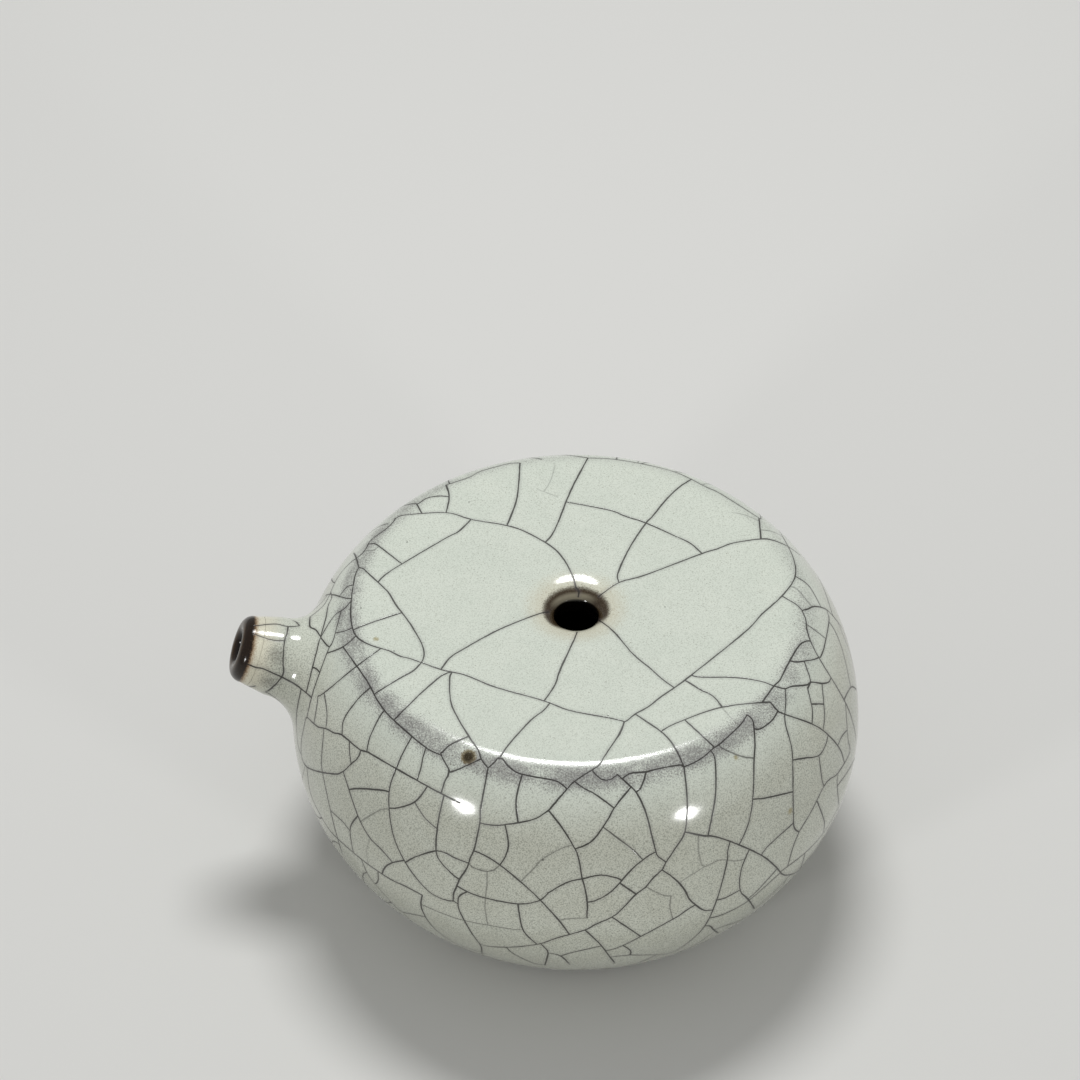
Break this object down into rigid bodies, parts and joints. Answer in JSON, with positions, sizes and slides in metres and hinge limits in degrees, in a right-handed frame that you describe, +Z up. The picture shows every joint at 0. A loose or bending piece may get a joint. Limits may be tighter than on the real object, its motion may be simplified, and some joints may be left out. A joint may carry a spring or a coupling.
{
  "type": "water dropper",
  "caption": "Low round ceramic water dropper with a filling hole in its flat top, a short upturned spout and a crackled celadon glaze.",
  "frame": {"origin": "on the ground, under the middle of the whole length from the tip of the spout to the far side of the body", "axes": "+X from the spout to the far side of the body, +Z up; the spout points to -X and the body's axis stands at x = 4.6 mm"},
  "size_m": [0.0952, 0.086, 0.0497],
  "materials": {
    "crackled_glaze": "glossy pale grey-green celadon with a dark crackle",
    "stoneware_body": "bare dark iron-bearing stoneware",
    "iron_brown_lip": "burnt dark brown lip, slightly glossy"
  },
  "bodies": {
    "root": {"lower_body": "stoneware_body", "upper_body": "stoneware_body", "spout": "iron_brown_lip", "outer_glaze": "crackled_glaze", "foot_glaze": "crackled_glaze"}
  },
  "joints": []
}
